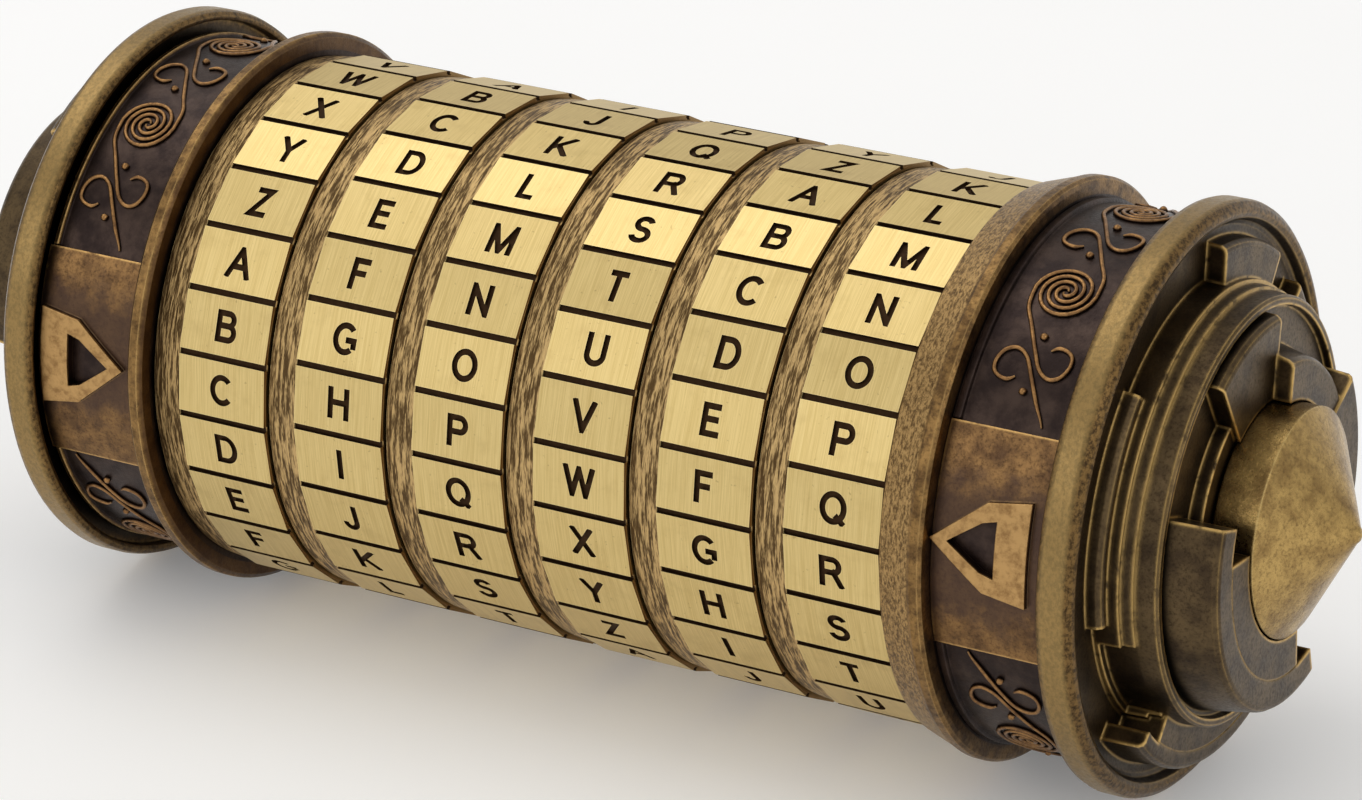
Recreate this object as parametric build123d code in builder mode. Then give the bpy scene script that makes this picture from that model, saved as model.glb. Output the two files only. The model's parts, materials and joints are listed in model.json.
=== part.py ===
from build123d import *
import math
import os

# Cryptex: six lettered rings turn on a slotted sleeve and lock a small drawer inside it.
# Millimetres. X is the axle, the sealed end at +X and the drawer's end at -X. Z is up.
# The cryptex lies on its two rims: the origin is on the table under the middle of its length.
# Angles round the axle are in degrees from the front (-Y), rising over the top (+Z).

# ---- driving dimensions ----
letter_count = 26
rim_radius = 25.0  # the two outer rims that the cryptex lies on
band_radius = 23.25  # corners of the lettered band of each ring, which has one flat for each letter
rest_flat = 4.6  # width of the shallow flat under each rim, which keeps it from rolling
axle_height = math.sqrt(rim_radius**2 - (rest_flat / 2) ** 2)
index_angle = 5.25  # where the index arrows and the lock slot stand
arrow_slack = 1.85  # the two end castings are this far off the index line, one each way
ring_count = 6
ring_pitch = 11.8
ring_gap = 0.2
ring_width = ring_pitch - ring_gap
ring_slack = (-1.4, 1.5, 1.4, -3.7, 1.2, 2.9)  # how far each ring stands off its letter
code = "CHPWFQ"

# ---- ring section ----
slope_width = 2.8
slope_drop = 0.3
letter_height = 2.8
letter_spread = 1.1  # the letters are this much wider than their strokes' table says
letter_stroke = 0.54
letter_depth = 0.3
divider_width = 0.55
divider_depth = 0.4
seat_radius = 18.0  # joint between a letter ring and its lock ring
key_count = 2
key_width = 1.1
key_height = 0.7
key_slack = 0.1
web_width = 2.6
pocket_radius = 16.1
ring_bore = 13.1
notch_width = 5.6

# ---- sleeve and drawer ----
sleeve_outer = 12.8
sleeve_inner = 11.6
tube_outer = 11.3
tube_inner = 10.5
slot_width = 3.4
rail_width = 2.8
rail_top = 12.6
tooth_top = 15.6
tooth_length = 2.4
compartment_length = 78.5
plug_length = 5.0
plug_radius = 10.8  # the tube is bored out to this for the plug that closes it

# ---- end castings ----
drum_radius = 22.7
drum_width = 10.3
flange_radius = 24.75
flange_gap = 0.2
seat_place = 48.675  # each casting's seat, from the middle of the length
stack_shift = -1.4  # the rings stand this far off the middle, towards the drawer's end
ridge_radius = 23.05  # the raised line along each edge of a drum
plate_radius = 23.15
plate_half_angle = 23.7
arrow_radius = 23.65
arrow_length = 8.55
arrow_half_width = 4.35
cap_recess = 18.3
cap_spigot = 18.0
recess_depth = 2.0
floor_depth = 3.5  # to the underside of the floor that shuts the sleeve
shadow_gap = 0.8  # open joint beside the drawer's rim
stud_radius = 2.5
stud_hole = 2.6
stud_end = 2.9  # how far the finial's stud reaches past the seat
finial_radius = 9.65
finial_seat = 7.7  # heights above the casting's seat
finial_base = 11.7
finial_tip = 16.9

# ---- places along the axle, worked out from the sizes above ----
letter_step = 360 / letter_count
flat_radius = band_radius * math.cos(math.pi / letter_count)  # the middle of a letter's flat
stack_width = ring_count * ring_pitch - ring_gap
stack_right = stack_shift + stack_width / 2
stack_left = stack_shift - stack_width / 2
right_seat = seat_place
left_seat = -seat_place
sleeve_left = left_seat + recess_depth + 0.4
sleeve_right = right_seat - floor_depth
tube_left = left_seat - shadow_gap
tube_right = tube_left + plug_length + compartment_length
axle = Axis((0, 0, axle_height), (1, 0, 0))


def radial(angle):
    """The direction away from the axle at an angle round it."""
    turn = math.radians(angle)
    return Vector(0, -math.cos(turn), math.sin(turn))


def across(x, angle=index_angle, facing=1):
    """The plane across the axle at x. Its own x axis points at the given angle, and it faces +X or -X."""
    return Plane(origin=(x, 0, axle_height), x_dir=radial(angle), z_dir=(facing, 0, 0))


def lengthwise(x=0, angle=index_angle, facing=1):
    """The half plane through the axle at an angle: x runs along the axle, y away from it."""
    out = radial(angle)
    along = Vector(facing, 0, 0)
    return Plane(origin=(x, 0, axle_height), x_dir=along, z_dir=along.cross(out))


def turned(points):
    """Turn an outline of (x, radius) points right round the axle, in the open part block."""
    with BuildSketch(lengthwise(0)) as outline:
        with BuildLine():
            Polyline(points, close=True)
        make_face()
    revolve(outline.sketch, axis=axle)


def ring_left(number):
    """The left face of a ring, counted from 1 at the drawer's end."""
    return stack_left + (number - 1) * ring_pitch


def finish(block, name):
    """Name a finished piece and write it."""
    block.part.label = name
    export_step(block.part, f"parts/{name}.step")


os.makedirs("parts", exist_ok=True)

# ---- letters: strokes on a box 1 high, as straight runs and as parts of ellipses ----
# a run is a list of points; an arc is (centre x, centre y, half width, half height, from angle, turn)
# free ends run past the box, which trims them square
under, over = -0.12, 1.12
letter_strokes = {
    "A": ([[(-0.05, under), (0.38, 1.0), (0.81, under)], [(0.14, 0.33), (0.62, 0.33)]], []),
    "B": (
        [[(0.46, 0.0), (0.04, 0.0), (0.04, 1.0), (0.42, 1.0)], [(0.04, 0.53), (0.44, 0.53)]],
        [(0.42, 0.765, 0.2, 0.235, -90, 180), (0.45, 0.265, 0.22, 0.265, -90, 180)],
    ),
    "C": ([], [(0.42, 0.5, 0.38, 0.5, 42, 276)]),
    "D": (
        [[(0.34, 0.0), (0.04, 0.0), (0.04, 1.0), (0.34, 1.0)]],
        [(0.34, 0.5, 0.36, 0.5, -90, 180)],
    ),
    "E": ([[(0.64, 0.0), (0.04, 0.0), (0.04, 1.0), (0.61, 1.0)], [(0.04, 0.53), (0.57, 0.53)]], []),
    "F": ([[(0.04, under), (0.04, 1.0), (0.61, 1.0)], [(0.04, 0.52), (0.53, 0.52)]], []),
    "G": (
        [[(0.44, 0.46), (0.77, 0.46), (0.77, 0.14)]],
        [(0.42, 0.5, 0.38, 0.5, 42, 270)],
    ),
    "H": ([[(0.04, under), (0.04, over)], [(0.68, under), (0.68, over)], [(0.04, 0.53), (0.68, 0.53)]], []),
    "I": ([[(0.06, under), (0.06, over)]], []),
    "J": ([[(0.46, over), (0.46, 0.26)]], [(0.24, 0.26, 0.22, 0.26, 180, 180)]),
    "K": ([[(0.04, under), (0.04, over)], [(0.04, 0.3), (0.74, over)], [(0.25, 0.52), (0.76, under)]], []),
    "L": ([[(0.04, over), (0.04, 0.0), (0.56, 0.0)]], []),
    "M": ([[(0.04, under), (0.04, 1.0), (0.43, 0.0), (0.82, 1.0), (0.82, under)]], []),
    "N": ([[(0.04, under), (0.04, 1.0), (0.67, 0.0), (0.67, over)]], []),
    "O": ([], [(0.42, 0.5, 0.39, 0.5, 0, 180), (0.42, 0.5, 0.39, 0.5, 180, 180)]),
    "P": (
        [[(0.43, 0.46), (0.04, 0.46), (0.04, 1.0), (0.43, 1.0)], [(0.04, 0.6), (0.04, under)]],
        [(0.43, 0.73, 0.22, 0.27, -90, 180)],
    ),
    "Q": (
        [[(0.5, 0.24), (0.84, -0.08)]],
        [(0.42, 0.5, 0.39, 0.5, 0, 180), (0.42, 0.5, 0.39, 0.5, 180, 180)],
    ),
    "R": (
        [[(0.04, under), (0.04, 1.0), (0.44, 1.0)], [(0.04, 0.47), (0.46, 0.47), (0.78, under)]],
        [(0.44, 0.735, 0.22, 0.265, -90, 180)],
    ),
    "S": ([], [(0.35, 0.76, 0.26, 0.24, 20, 250), (0.35, 0.26, 0.29, 0.26, 192, 258)]),
    "T": ([[(0.0, 1.0), (0.68, 1.0)], [(0.34, 1.0), (0.34, under)]], []),
    "U": (
        [[(0.04, over), (0.04, 0.32)], [(0.66, 0.32), (0.66, over)]],
        [(0.35, 0.32, 0.31, 0.32, 180, 180)],
    ),
    "V": ([[(-0.04, over), (0.35, 0.0), (0.74, over)]], []),
    "W": ([[(-0.03, over), (0.24, 0.0), (0.5, 1.0), (0.76, 0.0), (1.03, over)]], []),
    "X": ([[(-0.03, over), (0.73, under)], [(-0.03, under), (0.73, over)]], []),
    "Y": ([[(-0.04, over), (0.35, 0.46), (0.74, over)], [(0.35, 0.46), (0.35, under)]], []),
    "Z": ([[(0.06, 1.0), (0.62, 1.0), (0.03, 0.0), (0.66, 0.0)]], []),
}


def letter_cutter(letter, x, angle):
    """The solid that engraves one letter, upright beside its neighbours, with its middle at (x, angle)."""
    runs, arcs = letter_strokes[letter]
    reach = [p[0] for run in runs for p in run] + [s * a[2] + a[0] for a in arcs for s in (-1, 1)]
    middle = (min(reach) + max(reach)) / 2
    size = letter_height - letter_stroke
    wide_size = size * letter_spread
    out = radial(angle)
    floor = Plane(
        origin=Vector(x, 0, axle_height) + out * (flat_radius - letter_depth),
        x_dir=(1, 0, 0),
        z_dir=out,
    )
    with BuildPart() as cutter:
        with BuildSketch(floor):
            with BuildLine():
                for run in runs:
                    Polyline([((a - middle) * wide_size, (b - 0.5) * size) for a, b in run])
                for cx, cy, wide, high, start, turn in arcs:
                    centre = ((cx - middle) * wide_size, (cy - 0.5) * size)
                    EllipticalCenterArc(
                        centre, wide * wide_size, high * size, start_angle=start, arc_size=turn
                    )
            trace(line_width=letter_stroke)
            Rectangle(2 * letter_height, letter_height, mode=Mode.INTERSECT)
        extrude(amount=letter_depth + 0.5)
    return cutter.part


# ---- letter rings and the lock rings inside them ----
band_middle = slope_width + (ring_width - slope_width) / 2
lip = 0.05  # the band stands this much above the top of its slope

# the alphabet runs down the front of a ring
letters = [
    letter_cutter(letter, band_middle, -n * letter_step) for n, letter in enumerate(letter_strokes)
]

# the pattern for all six: its left face at x 0 and its letter A at the front
with BuildPart() as engraved_ring:
    turned(
        [
            (0, seat_radius),
            (ring_width, seat_radius),
            (ring_width, flat_radius - 0.12),
            (slope_width, flat_radius - lip),
            (0, flat_radius - lip - slope_drop),
        ]
    )
    with BuildSketch(across(slope_width, 0)):
        RegularPolygon(band_radius, letter_count, rotation=letter_step / 2)
        Circle(seat_radius + 1, mode=Mode.SUBTRACT)
    extrude(amount=ring_width - slope_width - 0.1)
    with BuildSketch(across(slope_width, 0)):
        with PolarLocations(band_radius, letter_count, start_angle=letter_step / 2):
            Rectangle(2 * divider_depth, divider_width)
    extrude(amount=ring_width - slope_width, mode=Mode.SUBTRACT)
    with BuildSketch(across(0, 0)):
        with PolarLocations(seat_radius, letter_count):
            Rectangle(2 * (key_height + key_slack), key_width + 2 * key_slack)
    extrude(amount=ring_width, mode=Mode.SUBTRACT)
    add(letters, mode=Mode.SUBTRACT)


def letter_ring(number):
    """One lettered ring. Its sloped side faces the drawer's end, its code letter is by the index line."""
    first = ord(code[number - 1]) - ord("A")
    rise = index_angle + ring_slack[number - 1] + first * letter_step
    with BuildPart() as ring:
        add(engraved_ring.part.rotate(axle, -rise).translate((ring_left(number), 0, 0)))
    finish(ring, f"letter_ring_{number}")


def lock_ring(number):
    """The ring that a letter ring is keyed to. Its web stops a drawer's tooth until the notch comes round."""
    left = ring_left(number) + 0.2
    right = ring_left(number) + ring_width - 0.2
    outer = seat_radius - 0.05
    at_index = index_angle + ring_slack[number - 1]
    with BuildPart() as ring:
        turned(
            [
                (left, ring_bore),
                (left + web_width, ring_bore),
                (left + web_width, pocket_radius),
                (right, pocket_radius),
                (right, outer),
                (left, outer),
            ]
        )
        with BuildSketch(across(left, at_index)):
            with PolarLocations(outer, key_count):
                Rectangle(2 * key_height, key_width)
            Circle(outer - 0.5, mode=Mode.SUBTRACT)
        extrude(amount=right - left)
        with BuildSketch(across(left, at_index)):
            with Locations((ring_bore + 1.5, 0)):
                Rectangle(2 * (pocket_radius - ring_bore), notch_width)
            Circle(pocket_radius, mode=Mode.INTERSECT)
        extrude(amount=web_width, mode=Mode.SUBTRACT)
    finish(ring, f"lock_ring_{number}")


for number in range(1, ring_count + 1):
    letter_ring(number)
    lock_ring(number)


# ---- core sleeve: the slotted tube that the rings turn on ----
def tooth_left(number):
    """Where a tooth of the rail starts: the middle of its ring's pocket."""
    pocket = ring_width - 0.4 - web_width
    return ring_left(number) + 0.2 + web_width + (pocket - tooth_length) / 2


rail_right = tooth_left(ring_count) + tooth_length + 1.0
tooth_places = [tooth_left(number) for number in range(1, ring_count + 1)]

with BuildPart() as core_sleeve:
    with BuildSketch(across(sleeve_left)):
        Circle(sleeve_outer)
        Circle(sleeve_inner, mode=Mode.SUBTRACT)
    extrude(amount=sleeve_right - sleeve_left)
    with BuildSketch(across(sleeve_left)):
        with Locations((sleeve_outer, 0)):
            Rectangle(2 * (sleeve_outer - sleeve_inner) + 2, slot_width)
    extrude(amount=rail_right + 0.6 - sleeve_left, mode=Mode.SUBTRACT)
finish(core_sleeve, "core_sleeve")


# ---- end castings, each drawn from its seat outwards, so that both ends are the same pattern ----
class End:
    """One end: which way it faces, where its drum meets its cap, its index angle and its arrow's tip."""

    def __init__(self, side, seat, facing, angle, tip):
        self.side, self.seat, self.facing, self.angle, self.tip = side, seat, facing, angle, tip

    def plane(self, height, turn=0):
        """Across the axle at a height out from the seat, with its x axis turned from the index line."""
        return across(self.seat + self.facing * height, self.angle - self.facing * turn, self.facing)

    def turned(self, points, span=None, mode=Mode.ADD):
        """Turn an outline of (height, radius) points right round, or over a span off the index line."""
        from_angle, arc = underneath, 360
        if span:
            from_angle, arc = self.angle - self.facing * span[0], span[1] - span[0]
        around = Axis((0, 0, axle_height), (self.facing, 0, 0))
        with BuildSketch(lengthwise(self.seat, from_angle, self.facing)) as outline:
            with BuildLine():
                Polyline(points, close=True)
            make_face()
        revolve(outline.sketch, axis=around, revolution_arc=arc, mode=mode)


underneath = -90
behind_plate = (0.4, 360.4)  # a whole turn that starts where the index plate hides it
right_end = End("right", right_seat, 1, index_angle + arrow_slack, -10.25)
left_end = End("left", left_seat, -1, index_angle - arrow_slack, -9.1)
ends = (left_end, right_end)


def end_drum(end):
    """The fixed drum beside the rings, with the flange that guards them. It holds the sleeve's end."""
    wall = -drum_width
    if end.side == "right":
        inner = stack_right + flange_gap - right_seat
        ring_side = [(inner, 23.65), (inner + 2.9, flange_radius - 0.15), (inner + 3.2, flange_radius)]
    else:
        inner = left_seat - stack_left + flange_gap
        ring_side = [(inner, flange_radius - 0.4), (inner + 0.35, flange_radius)]
    with BuildPart() as drum:
        end.turned(
            [
                (inner, sleeve_outer),
                *ring_side,
                (wall - 0.35, flange_radius),
                (wall - 0.08, flange_radius - 0.25),
                (wall, flange_radius - 0.7),
                (wall, drum_radius),
                (0, drum_radius),
                (0, cap_recess),
                (-recess_depth, cap_recess),
                (-recess_depth, sleeve_outer),
            ],
            behind_plate,
        )
        for low, high in ((wall, wall + 0.8), (-0.75, -0.15)):
            end.turned(
                [
                    (low, drum_radius - 0.2),
                    (low, drum_radius + 0.1),
                    (low + 0.12, ridge_radius),
                    (high - 0.12, ridge_radius),
                    (high, drum_radius + 0.1),
                    (high, drum_radius - 0.2),
                ],
                (plate_half_angle + 0.3, 359.7 - plate_half_angle),
            )
        if end.side == "left":
            # the lane that the drawer's teeth slide out through
            with BuildSketch(across(end.seat, index_angle)):
                with Locations((sleeve_outer, 0)):
                    Rectangle(2 * (tooth_top + 0.5 - sleeve_outer), slot_width)
            extrude(amount=recess_depth - inner, mode=Mode.SUBTRACT)
        else:
            # the floor that shuts the sleeve, tapped for the finial
            with BuildSketch(end.plane(-floor_depth)):
                Circle(sleeve_outer + 0.5)
                Circle(stud_radius, mode=Mode.SUBTRACT)
            extrude(amount=floor_depth - recess_depth)
    finish(drum, f"{end.side}_drum")


def house(tip, shoulder, base, half_width, mode=Mode.ADD):
    """The five-sided outline of an index arrow, pointing at the rings."""
    corners = [
        (0, tip),
        (half_width * 0.86, shoulder),
        (half_width, base),
        (-half_width, base),
        (-half_width * 0.86, shoulder),
    ]
    Polygon(corners, align=None, mode=mode)


def index_plate(end):
    """The curved plate across the drum, with the raised hollow arrow that marks the index line."""
    face = Plane(
        origin=Vector(end.seat, 0, axle_height) + radial(end.angle) * (drum_radius - 0.5),
        x_dir=Vector(end.facing, 0, 0).cross(radial(end.angle)),
        z_dir=radial(end.angle),
    )
    half_angles = (-plate_half_angle, plate_half_angle)
    edges = (0.02 - drum_width, -0.02)
    low = drum_radius
    with BuildPart() as plate:
        with BuildSketch(face):
            house(end.tip, end.tip + 4.75, end.tip + arrow_length, arrow_half_width)
        extrude(amount=3)
        with BuildSketch(end.plane(edges[0])):
            Circle(arrow_radius)
            Circle(drum_radius + 0.1, mode=Mode.SUBTRACT)
        extrude(amount=drum_width, mode=Mode.INTERSECT)
        end.turned(
            [(edges[0], low), (edges[0], plate_radius), (edges[1], plate_radius), (edges[1], low)],
            half_angles,
        )
        with BuildSketch(face):
            house(end.tip + 1.5, end.tip + 4.5, end.tip + 5.75, 2.4)
        extrude(amount=3, mode=Mode.SUBTRACT)
    finish(plate, f"{end.side}_index_plate")


for end in ends:
    end_drum(end)
    index_plate(end)


# ---- end caps: the rim that the cryptex lies on, and the stepped relief round the finial ----
# a block of the relief: angles from and to, radius at its foot, at its top and inside, its two heights
relief_blocks = (
    (-39.4, 18.6, 19.9, 19.5, 17.8, 1.2, 3.1),
    (50.6, 128.0, 22.0, 21.7, 20.4, 1.2, 5.5),
    (58.0, 128.0, 20.6, 20.6, 17.8, 1.2, 5.5),
    (-117.9, -86.4, 22.1, 21.8, 18.5, 1.2, 3.5),
    (-205.0, -134.9, 22.1, 21.8, 18.5, 1.2, 3.5),
    (-11.1, 113.0, 16.9, 15.7, 13.2, 5.0, 11.4),
    (2.5, 101.0, 13.4, 13.4, 9.8, 5.0, 11.4),
    (-90.4, -50.4, 16.9, 16.6, 9.8, 5.0, 8.2),
    (-152.9, -88.4, 14.3, 13.2, 9.8, 5.0, 9.8),
    (-205.0, -143.0, 16.2, 15.6, 9.8, 5.0, 10.0),
)


def cap_body(end, underside, spigot_end, spigot_bore):
    """A cap in the open part block: rim, steps, relief and spigot, and a hole for the finial's stud."""
    end.turned(
        [
            (underside, 0),
            (underside, 24.05),
            (-0.2, 24.1),
            (-0.3, 24.45),
            (-0.1, rim_radius - 0.18),
            (0.4, rim_radius),
            (2.0, rim_radius),
            (2.4, rim_radius - 0.15),
            (2.8, rim_radius - 0.6),
            (2.9, rim_radius - 1.0),
            (2.7, rim_radius - 1.45),
            (1.9, rim_radius - 1.75),
            (1.7, rim_radius - 2.1),
            (1.7, 18.8),
            (4.1, 18.7),
            (4.1, 18.4),
            (5.2, 18.3),
            (5.2, 18.05),
            (7.0, 17.95),
            (7.2, 17.75),
            (7.2, 17.2),
            (6.5, 17.1),
            (6.5, 11.6),
            (finial_seat, 11.5),
            (finial_seat, 0),
        ]
    )
    for start, stop, foot, top, inner, low, high in relief_blocks:
        end.turned(
            [
                (low, inner),
                (low, foot),
                (high - 0.5, top + 0.15),
                (high - 0.12, top - 0.1),
                (high, top - 0.4),
                (high, inner),
            ],
            (start, stop),
        )
    # a channel down beside the shoulder
    end.turned([(2.2, 18.05), (2.2, 18.95), (6, 18.95), (6, 18.05)], (25, 56), Mode.SUBTRACT)
    with BuildSketch(Plane.XY) as table:
        with Locations((end.seat, 0)):
            Rectangle(12, 2 * rest_flat)
    extrude(table.sketch, amount=-1, mode=Mode.SUBTRACT)
    with BuildSketch(end.plane(spigot_end)) as spigot:
        Circle(cap_spigot)
        Circle(spigot_bore, mode=Mode.SUBTRACT)
    extrude(spigot.sketch, amount=underside - spigot_end)
    with BuildSketch(end.plane(spigot_end)) as hole:
        Circle(stud_hole)
    extrude(hole.sketch, amount=finial_seat - spigot_end, mode=Mode.SUBTRACT)


def finial(end):
    """The cone that screws down through a cap."""
    with BuildPart() as cone:
        end.turned(
            [
                (-stud_end, 0),
                (-stud_end, stud_radius - 0.3),
                (0.3 - stud_end, stud_radius),
                (finial_seat, stud_radius),
                (finial_seat, finial_radius - 0.2),
                (finial_seat + 0.2, finial_radius),
                (finial_base - 0.15, finial_radius),
                (finial_base, finial_radius - 0.2),
                (finial_tip - 0.45, 0.85),
                (finial_tip - 0.15, 0.5),
                (finial_tip, 0),
            ]
        )
    return cone


with BuildPart() as right_cap:
    cap_body(right_end, 0, -recess_depth, stud_hole)
finish(right_cap, "right_cap")

with BuildPart() as drawer_cap:
    cap_body(left_end, shadow_gap, 0.2 - recess_depth, tube_outer)
finish(drawer_cap, "drawer_cap")

finish(finial(right_end), "right_finial")
finish(finial(left_end), "drawer_finial")


# ---- drawer: a tube with one open end, and the toothed rail that the rings catch ----
with BuildPart() as drawer_tube:
    with BuildSketch(across(tube_left)):
        Circle(tube_outer)
        Circle(tube_inner, mode=Mode.SUBTRACT)
    extrude(amount=tube_right - tube_left)
    with BuildSketch(across(tube_left)):
        Circle(plug_radius)
    extrude(amount=plug_length, mode=Mode.SUBTRACT)
    chamfer(drawer_tube.faces().sort_by(Axis.X)[-1].edges(), 0.2)
finish(drawer_tube, "drawer_tube")

with BuildPart() as drawer_plug:
    with BuildSketch(across(tube_left)):
        Circle(plug_radius)
    extrude(amount=plug_length)
    with BuildSketch(across(tube_left)):
        Circle(stud_radius)
    extrude(amount=shadow_gap + stud_end + 0.2, mode=Mode.SUBTRACT)
finish(drawer_plug, "drawer_plug")

with BuildPart() as lock_rail:
    rail_left = left_seat + recess_depth + 0.1
    with BuildSketch(across(rail_left)):
        with Locations((rail_top / 2, 0)):
            Rectangle(rail_top, rail_width)
        Circle(tube_outer, mode=Mode.SUBTRACT)
    extrude(amount=rail_right - rail_left)
    for place in tooth_places:
        with BuildSketch(across(place)):
            with Locations(((tooth_top + rail_top) / 2 - 0.1, 0)):
                Rectangle(tooth_top - rail_top + 0.2, rail_width)
        extrude(amount=tooth_length)
finish(lock_rail, "lock_rail")
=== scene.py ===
import json
import math

import bpy
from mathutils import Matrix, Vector


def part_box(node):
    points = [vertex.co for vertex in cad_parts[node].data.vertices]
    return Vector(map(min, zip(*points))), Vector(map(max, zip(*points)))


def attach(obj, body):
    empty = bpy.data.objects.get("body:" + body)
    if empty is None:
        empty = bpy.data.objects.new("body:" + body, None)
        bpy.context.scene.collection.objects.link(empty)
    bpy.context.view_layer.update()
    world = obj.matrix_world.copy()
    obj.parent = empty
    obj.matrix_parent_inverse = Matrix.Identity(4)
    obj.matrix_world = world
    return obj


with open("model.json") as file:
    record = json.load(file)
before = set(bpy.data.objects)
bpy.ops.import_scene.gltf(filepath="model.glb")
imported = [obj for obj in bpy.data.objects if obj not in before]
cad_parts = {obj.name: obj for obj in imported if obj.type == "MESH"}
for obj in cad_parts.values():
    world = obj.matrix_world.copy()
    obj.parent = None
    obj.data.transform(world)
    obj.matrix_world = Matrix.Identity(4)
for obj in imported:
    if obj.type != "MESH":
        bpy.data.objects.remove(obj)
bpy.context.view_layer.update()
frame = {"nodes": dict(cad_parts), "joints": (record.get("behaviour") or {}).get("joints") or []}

# Cryptex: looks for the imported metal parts, and the scrollwork soldered round the two end drums.
# Metres. X is the axle, Z is up. Angles round the axle are from the front (-Y), rising over the top.
MM = 0.001
AXLE = frame["joints"][0]["pos_m"][2]
RINGS = [name for name in sorted(frame["nodes"]) if name.startswith("letter_ring")]
STACK_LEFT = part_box(RINGS[0])[0].x
RING_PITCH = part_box(RINGS[1])[0].x - STACK_LEFT
RING_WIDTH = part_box(RINGS[0])[1].x - STACK_LEFT
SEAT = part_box("right_drum")[1].x
SLOPE_WIDTH = 2.8 * MM  # the bare shoulder of each ring
END_STEP = 0.14 * MM  # where a ring's band steps down to its right face
ENGRAVED_BELOW = 23.04 * MM  # letters and grooves lie nearer the axle than this, the flats further out
DRUM_WIDTH = 10.3 * MM
DRUM_GROUND = 22.7 * MM  # radius of the drums' ground
FLANGE_CREST = 1.35 * MM  # width of the bright crest of the right flange, beside its sanded slope
INNER_LINE = 0.9 * MM  # width of the raised line beside a flange
PLATE_TOP = 23.35 * MM  # radius above which an index plate is its raised arrow
RIM_INSIDE = 23.3 * MM
RIM_RADIUS = 25.0 * MM
INDEX_ANGLE = 5.25  # degrees round the axle, midway between the two plates


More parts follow.
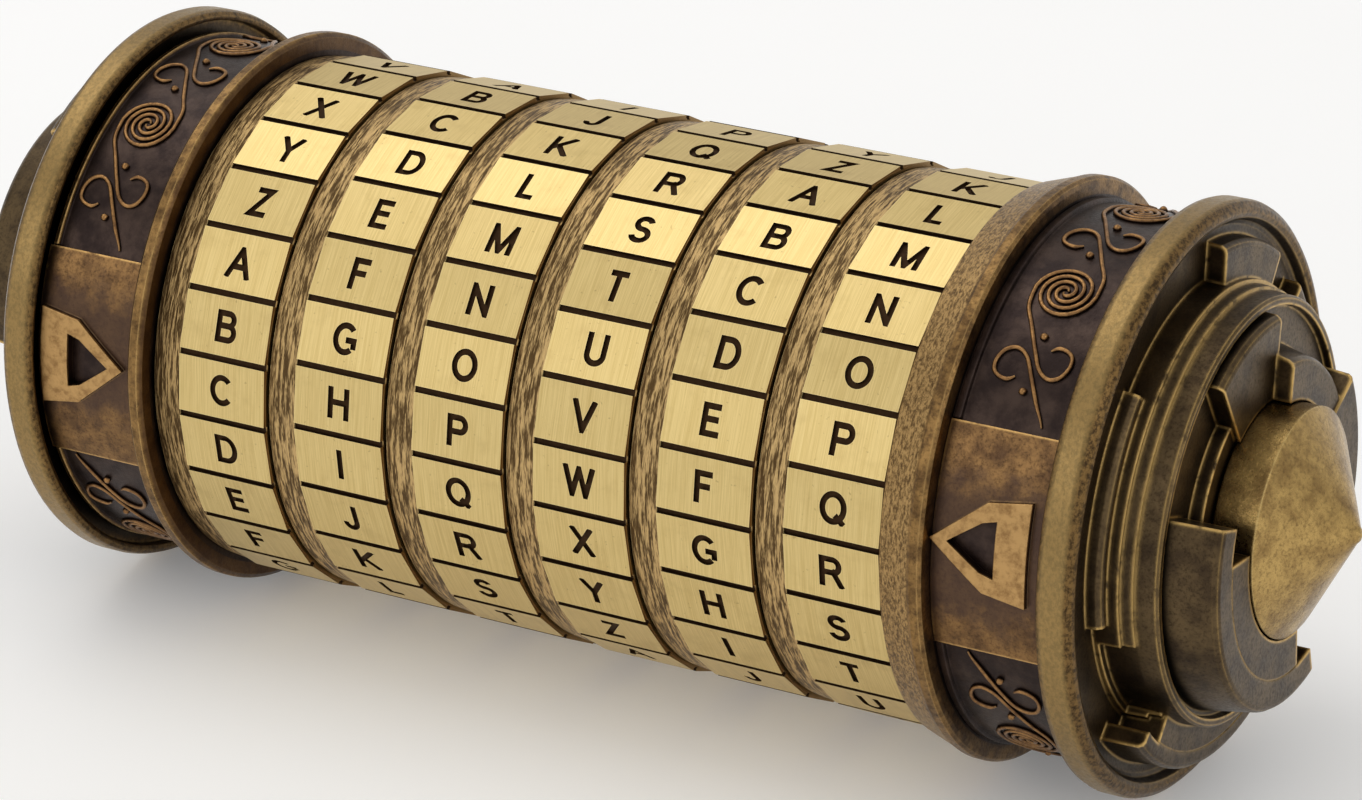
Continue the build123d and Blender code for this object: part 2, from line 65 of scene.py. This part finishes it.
class Shader:
    """A new metal's nodes, with the distance from the axle ready to use."""

    def __init__(self, name):
        self.material = bpy.data.materials.new(name)
        self.material.use_nodes = True
        self.tree = self.material.node_tree
        self.tree.nodes.clear()
        self.surface = self.node("ShaderNodeBsdfPrincipled")
        self.surface.inputs["Metallic"].default_value = 1.0
        self.node("ShaderNodeOutputMaterial", {0: self.surface.outputs[0]})
        self.point = self.node("ShaderNodeTexCoord").outputs["Object"]
        self.x, y, z = self.node("ShaderNodeSeparateXYZ", {0: self.point}).outputs
        rise = self.math("SUBTRACT", z, AXLE)
        self.out = self.node("ShaderNodeCombineXYZ", {1: y, 2: rise}).outputs[0]
        self.turn = self.math("ARCTAN2", rise, self.math("MULTIPLY", y, -1.0))
        squares = self.math("ADD", self.math("MULTIPLY", y, y), self.math("MULTIPLY", rise, rise))
        self.radius = self.math("SQRT", squares)

    def node(self, kind, inputs=None, **settings):
        node = self.tree.nodes.new(kind)
        for name, value in settings.items():
            setattr(node, name, value)
        for key, value in (inputs or {}).items():
            if isinstance(value, bpy.types.NodeSocket):
                self.tree.links.new(value, node.inputs[key])
            else:
                node.inputs[key].default_value = value
        return node

    def math(self, operation, a, b=0.0, clamp=False):
        return self.node("ShaderNodeMath", {0: a, 1: b}, operation=operation, use_clamp=clamp).outputs[0]

    def dot(self, a, b):
        return self.node("ShaderNodeVectorMath", {0: a, 1: b}, operation="DOT_PRODUCT").outputs["Value"]

    def ramp(self, value, low, high):
        """0 where the value is low, 1 where it is high, smooth between."""
        inputs = {"Value": value, "From Min": low, "From Max": high}
        return self.node("ShaderNodeMapRange", inputs, interpolation_type="SMOOTHSTEP").outputs[0]

    def flip(self, value):
        return self.math("SUBTRACT", 1.0, value)

    def both(self, a, b):
        return self.math("MULTIPLY", a, b)

    def mix(self, factor, a, b):
        """Colour a where the factor is 0, colour b where it is 1."""
        return self.node("ShaderNodeMix", {0: factor, 6: a, 7: b}, data_type="RGBA").outputs[2]

    def noise(self, along, around, detail=4.0, rough=0.6, shift=0.0):
        """Cloudy noise with grains this many millimetres long along the axle and round it."""
        size = (1 / (along * MM), 1 / (around * MM), 1 / (around * MM))
        sized = self.node("ShaderNodeVectorMath", {0: self.point, 1: size}, operation="MULTIPLY")
        moved = self.node("ShaderNodeVectorMath", {0: sized.outputs[0], 1: (shift,) * 3}).outputs[0]
        return self.node(
            "ShaderNodeTexNoise", {"Vector": moved, "Scale": 1.0, "Detail": detail, "Roughness": rough}
        ).outputs[0]

    def edges(self, width):
        """1 along sharp outer edges, within about this many millimetres."""
        rounded = self.node("ShaderNodeBevel", {"Radius": width * MM}, samples=8).outputs[0]
        flat = self.node("ShaderNodeNewGeometry").outputs["Normal"]
        sharp = self.ramp(self.flip(self.dot(rounded, flat)), 0.01, 0.16)
        return self.both(sharp, self.open_air(0.8))

    def open_air(self, reach):
        """0 deep in a recess, 1 on an open face, looking this many millimetres round."""
        inputs = {"Distance": reach * MM}
        return self.node("ShaderNodeAmbientOcclusion", inputs, samples=8).outputs["AO"]

    def wall(self):
        """1 on faces that stand up from the drum, 0 on faces that look away from the axle."""
        away = self.node("ShaderNodeVectorMath", {0: self.out}, operation="NORMALIZE").outputs[0]
        flat = self.node("ShaderNodeNewGeometry").outputs["True Normal"]
        # the ring's own direction, so that the mask turns with the ring
        settings = {"vector_type": "NORMAL", "convert_from": "WORLD", "convert_to": "OBJECT"}
        on_ring = self.node("ShaderNodeVectorTransform", {0: flat}, **settings).outputs[0]
        return self.ramp(self.dot(away, on_ring), 0.8, 0.5)

    def finish(self, colour, roughness, height=None, depth=0.02, soft=0.0):
        """Join up the surface. Depth is the bump's size, soft the edges' rounding, both in millimetres."""
        for name, value in (("Base Color", colour), ("Roughness", roughness)):
            socket = self.surface.inputs[name]
            if isinstance(value, bpy.types.NodeSocket):
                self.tree.links.new(value, socket)
            else:
                socket.default_value = value
        if height is not None:
            size = {"Height": height, "Distance": depth * MM, "Strength": 1.0}
            bump = self.node("ShaderNodeBump", size)
            if soft:
                rounded = self.node("ShaderNodeBevel", {"Radius": soft * MM}, samples=6).outputs[0]
                self.tree.links.new(rounded, bump.inputs["Normal"])
            self.tree.links.new(bump.outputs[0], self.surface.inputs["Normal"])
        return self.material


def srgb(red, green, blue):
    """A colour as a screen shows it, for a shader."""
    return (*[((c / 255 + 0.055) / 1.055) ** 2.4 for c in (red, green, blue)], 1.0)


def letter_metal():
    """Pale brushed flats, dark filled letters and grooves, and a coarsely turned brown slope."""
    m = Shader("letter_band")
    turns = m.math("DIVIDE", m.math("SUBTRACT", m.x, STACK_LEFT), RING_PITCH)
    place = m.math("MULTIPLY", m.math("FRACT", turns), RING_PITCH)
    band = m.ramp(place, SLOPE_WIDTH - 0.06 * MM, SLOPE_WIDTH + 0.02 * MM)
    side = m.ramp(place, RING_WIDTH - END_STEP, RING_WIDTH - END_STEP + 0.04 * MM)
    low = m.ramp(m.radius, ENGRAVED_BELOW + 0.02 * MM, ENGRAVED_BELOW - 0.02 * MM)
    engraved = m.both(m.both(band, m.flip(side)), m.math("MAXIMUM", low, m.wall()))
    hair = m.noise(0.1, 6.0, 3.0, 0.7)
    cloud = m.noise(3.0, 2.5, 4.0, 0.6)
    pits = m.ramp(m.noise(0.35, 0.35, 2.0, 0.5, 7.0), 0.68, 0.76)
    gold = m.mix(m.ramp(hair, 0.25, 0.75), srgb(201, 175, 113), srgb(225, 201, 140))
    gold = m.mix(m.both(m.ramp(cloud, 0.5, 0.78), 0.35), gold, srgb(182, 156, 100))
    gold = m.mix(m.both(pits, 0.35), gold, srgb(120, 95, 52))
    turned = m.noise(0.26, 2.4, 3.0, 0.75, 3.0)
    brown = m.mix(m.ramp(turned, 0.42, 0.6), srgb(92, 71, 44), srgb(204, 172, 118))
    # painted shade: the slope darkens towards its low end, in the gap beside the ring before it
    brown = m.mix(m.both(m.ramp(place, 0.5 * MM, 0.0), 0.5), brown, srgb(92, 68, 42))
    colour = m.mix(band, brown, gold)
    # bright lines along sharp edges: partly rubbed wear, partly a painted highlight standing in for
    # rounded edges
    colour = m.mix(m.both(m.edges(0.12), 0.7), colour, srgb(244, 220, 158))
    dirt = m.noise(0.5, 0.5, 3.0, 0.6, 11.0)
    filled = m.mix(dirt, srgb(48, 35, 25), srgb(84, 62, 42))
    # painted shade: each ring's stepped right face is coloured darker brown, where it faces the gap
    colour = m.mix(side, colour, srgb(150, 120, 74))
    colour = m.mix(engraved, colour, filled)
    rough = m.math("ADD", 0.3, m.both(hair, 0.16))
    rough = m.math("ADD", rough, m.both(m.flip(band), 0.1))
    rough = m.math("ADD", rough, m.both(engraved, 0.3), clamp=True)
    height = m.math("ADD", m.both(hair, 0.12), m.both(m.both(turned, m.flip(band)), 2.6))
    return m.finish(colour, rough, height, 0.045)


def antique(name, metal, patina, dark, worn, grain=1.2, edge=0.35, rub=0.8, rough=0.3):
    """Cast brass aged brown: clouded, dark in its recesses (patina there and painted shade) and rubbed
    bright along its edges.
    """
    m = Shader(name)
    cloud = m.noise(grain, grain, 6.0, 0.62)
    fine = m.noise(0.3, 0.3, 5.0, 0.75, 5.0)
    colour = m.mix(m.ramp(cloud, 0.35, 0.7), metal, patina)
    colour = m.mix(m.both(m.ramp(fine, 0.46, 0.66), 0.45), colour, dark)
    # recesses darkened by an occlusion mask: patina in the hollows and painted shade
    colour = m.mix(m.both(m.flip(m.ramp(m.open_air(1.6), 0.35, 0.95)), 0.85), colour, dark)
    rubbed = m.both(m.edges(edge), m.ramp(m.noise(1.4, 1.4, 4.0, 0.6, 2.0), 0.25, 0.5))
    colour = m.mix(m.both(rubbed, rub), colour, worn)
    shine = m.math("ADD", rough, m.both(m.ramp(fine, 0.35, 0.7), 0.16))
    return m, colour, shine, m.math("ADD", cloud, m.both(fine, 0.7))


def cap_metal():
    """Dark steps and relief with gold rubbed edges, inside a speckled brown-gold rim."""
    m, colour, shine, height = antique(
        "cap", srgb(98, 81, 57), srgb(64, 52, 39), srgb(30, 24, 20), srgb(220, 182, 112),
        grain=3.2, edge=0.75, rub=1.0,
    )
    rim = m.ramp(m.radius, RIM_INSIDE, RIM_INSIDE + 0.8 * MM)
    speckle = m.ramp(m.noise(0.35, 0.5, 5.0, 0.75, 4.0), 0.4, 0.62)
    aged = m.mix(speckle, srgb(130, 101, 60), srgb(62, 47, 30))
    # the rim's outermost crest is lightened: partly rubbed wear, partly a painted highlight
    crest = m.ramp(m.radius, RIM_RADIUS - 0.2 * MM, RIM_RADIUS)
    aged = m.mix(m.both(crest, 0.4), aged, srgb(206, 174, 112))
    colour = m.mix(m.both(rim, 0.8), colour, aged)
    return m.finish(colour, shine, height, 0.025, 0.3)


def finial_metal():
    """Speckled gold."""
    m, colour, shine, height = antique(
        "finial", srgb(188, 156, 96), srgb(140, 112, 68), srgb(66, 50, 32), srgb(236, 208, 142),
        grain=2.2, edge=0.4, rub=0.6, rough=0.24,
    )
    return m.finish(colour, shine, height, 0.03, 0.3)


def drum_metal():
    """Dark ground between brass flanges and fine copper lines. The right flange has a sanded slope."""
    m, colour, shine, height = antique(
        "drum", srgb(148, 115, 70), srgb(88, 66, 43), srgb(42, 31, 25), srgb(226, 186, 120),
        grain=1.4, edge=0.4,
    )
    sand = m.noise(0.22, 0.5, 5.0, 0.8, 12.0)
    sanded = m.mix(m.ramp(sand, 0.4, 0.6), srgb(92, 70, 44), srgb(184, 150, 98))
    on_right = m.ramp(m.x, 0.0, 10 * MM)
    wall = SEAT - DRUM_WIDTH
    slope_end = wall - FLANGE_CREST
    slope = m.both(m.ramp(m.x, slope_end + 0.1 * MM, slope_end - 0.1 * MM), on_right)
    colour = m.mix(m.both(slope, 0.85), colour, sanded)
    # painted shade: the left flange's ring side is coloured dark brown
    left_flange_shade = m.both(m.ramp(m.x, 1.1 * MM - wall, 1.4 * MM - wall), m.flip(on_right))
    colour = m.mix(m.both(left_flange_shade, 0.75), colour, srgb(74, 52, 36))
    reach = m.math("ABSOLUTE", m.x)
    inner_line = m.both(
        m.ramp(m.radius, DRUM_GROUND + 0.6 * MM, DRUM_GROUND + 0.5 * MM),
        m.ramp(reach, wall + INNER_LINE + 0.1 * MM, wall + INNER_LINE),
    )
    ground = m.ramp(m.radius, DRUM_GROUND + 0.22 * MM, DRUM_GROUND + 0.1 * MM)
    cloud = m.noise(2.5, 2.5, 5.0, 0.6, 6.0)
    dusk = m.mix(m.ramp(cloud, 0.35, 0.7), srgb(48, 39, 37), srgb(72, 59, 53))
    colour = m.mix(m.math("MAXIMUM", ground, inner_line), colour, dusk)
    return m.finish(colour, shine, m.math("ADD", height, m.both(slope, sand)), 0.03, 0.2)


def plate_metal():
    """Purple-brown round the arrow, rubbed to copper above and below it, under a tan-gold arrow."""
    m, colour, shine, height = antique(
        "index_plate", srgb(142, 108, 69), srgb(90, 67, 47), srgb(46, 34, 30), srgb(222, 178, 112),
        grain=2.2, edge=0.5, rub=0.9,
    )
    off_centre = m.math("ABSOLUTE", m.math("SUBTRACT", m.turn, math.radians(INDEX_ANGLE)))
    drift = m.math("SUBTRACT", m.noise(2.0, 2.0, 4.0, 0.6, 15.0), 0.5)
    smoke = m.math("ADD", off_centre, m.both(drift, 0.4))
    dusk = m.both(m.ramp(smoke, math.radians(20.0), math.radians(9.0)), 0.8)
    colour = m.mix(dusk, colour, srgb(76, 60, 53))
    arrow = m.ramp(m.radius, PLATE_TOP, PLATE_TOP + 0.1 * MM)
    patches = m.ramp(m.noise(1.0, 1.0, 5.0, 0.7, 8.0), 0.4, 0.7)
    tan = m.mix(patches, srgb(198, 158, 102), srgb(150, 114, 70))
    colour = m.mix(m.both(arrow, 0.85), colour, tan)
    return m.finish(colour, shine, height, 0.025, 0.15)


def plain_metal(name, light, shade):
    """Machined brass inside the cryptex."""
    m = Shader(name)
    hair = m.noise(0.12, 5.0, 3.0, 0.7)
    cloud = m.noise(4.0, 4.0, 4.0, 0.6, 3.0)
    colour = m.mix(m.ramp(cloud, 0.35, 0.7), light, shade)
    # bright lines along sharp edges: partly rubbed wear, partly a painted highlight
    colour = m.mix(m.both(m.edges(0.2), 0.6), colour, srgb(232, 206, 140))
    return m.finish(colour, m.math("ADD", 0.26, m.both(hair, 0.2)), hair, 0.008)


def scroll_metal():
    """Copper wire, rubbed bright along its edges in patches, with painted shade darkening its foot where
    it meets the drum.
    """
    m, colour, shine, height = antique(
        "scrollwork", srgb(170, 128, 80), srgb(126, 92, 60), srgb(60, 44, 36), srgb(206, 162, 104)
    )
    # painted shade: the wire's foot, next to the drum, is darkened
    top = m.ramp(m.radius, 22.8 * MM, 23.0 * MM)
    colour = m.mix(m.both(m.flip(top), 0.7), colour, srgb(66, 50, 44))
    return m.finish(colour, shine, height, 0.01)


def floor_finish():
    """Plain pale floor, faintly clouded, with a little glow so that it reads as near white."""
    m = Shader("floor")
    m.surface.inputs["Metallic"].default_value = 0.0
    m.surface.inputs["Emission Color"].default_value = (1.0, 1.0, 1.0, 1.0)
    m.surface.inputs["Emission Strength"].default_value = 0.16
    cloud = m.noise(60.0, 60.0, 3.0, 0.5)
    return m.finish(m.mix(cloud, (0.86, 0.86, 0.86, 1.0), (0.89, 0.89, 0.89, 1.0)), 0.75)


finishes = {
    "letter_ring": letter_metal(),
    "lock_ring": plain_metal("lock_ring", srgb(196, 168, 108), srgb(160, 132, 78)),
    "core_sleeve": plain_metal("sleeve", srgb(200, 172, 110), srgb(164, 136, 82)),
    "drawer_tube": plain_metal("drawer_tube", srgb(206, 178, 116), srgb(170, 140, 84)),
    "drawer_plug": plain_metal("drawer_plug", srgb(206, 178, 116), srgb(170, 140, 84)),
    "lock_rail": plain_metal("lock_rail", srgb(198, 168, 106), srgb(150, 122, 72)),
    "_drum": drum_metal(),
    "index_plate": plate_metal(),
    "finial": finial_metal(),
    "cap": cap_metal(),
}
for name, node in frame["nodes"].items():
    kind = next(k for k in finishes if k in name)
    node.data.materials.clear()
    node.data.materials.append(finishes[kind])

# ---- scrollwork: wire spirals, hooks and beads round each drum ----
# A unit is drawn flat, in millimetres: a is along the axle towards the cap, s is round the drum.
# It has two arms, the second the first turned half round.
WIRE_RADIUS = 0.2
WIRE_CENTRE = 22.8 * MM
SPIRAL_RADIUS = 2.65
SPIRAL_TURNS = 2.05
STEM = [
    (-2.65, 0.0), (-2.4, -2.0), (-1.4, -3.8), (-0.2, -6.0), (0.7, -7.5), (1.7, -8.1),
    (2.6, -7.8), (3.1, -6.9), (3.05, -6.0), (2.5, -5.5), (1.7, -5.35), (1.1, -5.7),
]
BEAD = (0.05, -4.6)
UNIT_COUNT = 8
UNIT_STEP = 35.5
FIRST_UNIT = 55.8
CLIPPED_UNITS = (20.3, -20.2)  # middles of two more units, which the index plate mostly covers
PLATE_EDGE = 24.6
# which way each end faces, its plate's angle, which way its units rise, and their middles' height
ENDS = {"right": (1, 7.1, 1, -5.1), "left": (-1, 3.4, -1, -4.45)}
SPIRAL_POINTS = 44
STEM_START = 0.12  # the spiral stops this part of a turn before the stem takes over
BEAD_SLANT = (0.11, 0.06)
BEAD_SWELL = (0.15, 1.15, 1.6, 1.75, 1.6, 1.15, 0.15)
TAPER = (0.45, 0.09)  # a wire's thickness at its end, and how much more at each point from there


def curved(points, steps=6):
    """A smooth line through the points."""
    ends = [points[0], *points, points[-1]]
    line = []
    for a, b, c, d in zip(ends, ends[1:], ends[2:], ends[3:]):
        for k in range(steps):
            t = k / steps
            place = []
            for p, q, r, s in zip(a, b, c, d):
                bend = 2 * p - 5 * q + 4 * r - s
                swing = 3 * q - p - 3 * r + s
                place.append(0.5 * (2 * q + (r - p) * t + bend * t**2 + swing * t**3))
            line.append(tuple(place))
    return [*line, points[-1]]


def spiral():
    """The arm from its middle out to where the stem starts."""
    line = []
    for k in range(SPIRAL_POINTS):
        t = (SPIRAL_TURNS - STEM_START) * (1 - k / SPIRAL_POINTS)
        turn = math.pi - 2 * math.pi * t
        reach = SPIRAL_RADIUS * (1 - t / SPIRAL_TURNS)
        line.append((reach * math.cos(turn), reach * math.sin(turn)))
    return line


def scrollwork(side):
    """The wires round one drum, as one piece."""
    facing, plate_angle, rising, height = ENDS[side]
    curve = bpy.data.curves.new(f"{side}_scrollwork", "CURVE")
    curve.dimensions = "3D"
    curve.bevel_depth = WIRE_RADIUS * MM
    curve.bevel_resolution = 3
    curve.use_fill_caps = True
    arm = spiral() + curved(STEM)
    bead = [(BEAD[0] + k * BEAD_SLANT[0], BEAD[1] + k * BEAD_SLANT[1]) for k in range(-3, 4)]

    def lay(points, swell, middle):
        """One wire on the drum, its points given round a unit's middle."""
        spline = curve.splines.new("POLY")
        spline.points.add(len(points) - 1)
        for point, (a, s), thick in zip(spline.points, points, swell):
            turn = math.radians(plate_angle + rising * middle) + rising * s * MM / DRUM_GROUND
            x = facing * (SEAT + (height + a) * MM)
            point.co = (x, -WIRE_CENTRE * math.cos(turn), AXLE + WIRE_CENTRE * math.sin(turn), 1.0)
            point.radius = thick

    def off_plate(points, middle):
        """The outer run of points that the index plate leaves uncovered, or none if it covers the end."""
        reach = [middle + math.degrees(s * MM / DRUM_GROUND) for a, s in points]
        clear = [PLATE_EDGE < turn % 360 < 360 - PLATE_EDGE for turn in reach]
        if not clear[-1]:
            return []
        return points[max([k + 1 for k, free in enumerate(clear) if not free], default=0):]

    middles = [FIRST_UNIT + k * UNIT_STEP for k in range(UNIT_COUNT)]
    for middle in [*middles, *CLIPPED_UNITS]:
        for half in (1, -1):
            points = off_plate([(half * a, half * s) for a, s in arm], middle)
            if len(points) > 3:
                thin, grow = TAPER
                last = len(points) - 1
                swell = [min(1.0, thin + grow * k, thin + grow * (last - k)) for k in range(last + 1)]
                lay(points, swell, middle)
            round_bead = off_plate([(half * a, half * s) for a, s in bead], middle)
            if len(round_bead) == len(bead):
                lay(round_bead, BEAD_SWELL, middle)
    piece = bpy.data.objects.new(f"{side}_scrollwork", curve)
    bpy.context.scene.collection.objects.link(piece)
    curve.materials.append(wire_finish)
    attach(piece, "frame")


wire_finish = scroll_metal()
for side in ENDS:
    scrollwork(side)

# ---- floor, light and camera ----
FLOOR_HALF = 4.0
SKY_STRENGTH = 0.72
CAMERA_LENS = 141.1
CAMERA_PLACE = (0.2138, -0.3689, 0.1975)
CAMERA_DOWN = 22.21  # degrees below level
CAMERA_TURN = 29.82  # degrees to the left of straight back
mesh = bpy.data.meshes.new("floor")
corners = [(x * FLOOR_HALF, y * FLOOR_HALF, 0) for x, y in ((-1, -1), (1, -1), (1, 1), (-1, 1))]
mesh.from_pydata(corners, [], [(0, 1, 2, 3)])
floor = bpy.data.objects.new("floor", mesh)
mesh.materials.append(floor_finish())
bpy.context.scene.collection.objects.link(floor)

world = bpy.data.worlds.new("studio")
world.use_nodes = True
world.node_tree.nodes["Background"].inputs["Color"].default_value = (1.0, 0.99, 0.97, 1.0)
world.node_tree.nodes["Background"].inputs["Strength"].default_value = SKY_STRENGTH
bpy.context.scene.world = world


def softbox(name, place, size, power):
    """A soft light that faces the cryptex."""
    light = bpy.data.lights.new(name, "AREA")
    light.shape = "RECTANGLE"
    light.size, light.size_y = size
    light.energy = power
    lamp = bpy.data.objects.new(name, light)
    lamp.location = place
    aim = Vector((0, 0, AXLE)) - Vector(place)
    lamp.rotation_euler = aim.to_track_quat("-Z", "Y").to_euler()
    bpy.context.scene.collection.objects.link(lamp)


softbox("top", (-0.6, 0.1, 1.1), (0.9, 0.65), 2.5)
softbox("front_left", (-0.8, -1.3, 0.7), (1.0, 0.6), 2.0)
softbox("right", (1.4, -0.5, 0.8), (0.7, 0.7), 2.4)

camera_data = bpy.data.cameras.new("camera")
camera_data.sensor_width = 36.0
camera_data.lens = CAMERA_LENS
camera_data.clip_start = 0.01
camera = bpy.data.objects.new("camera", camera_data)
camera.location = CAMERA_PLACE
camera.rotation_euler = (math.radians(90 - CAMERA_DOWN), 0.0, math.radians(CAMERA_TURN))
bpy.context.scene.collection.objects.link(camera)
bpy.context.scene.camera = camera
bpy.context.scene.view_settings.view_transform = "Standard"
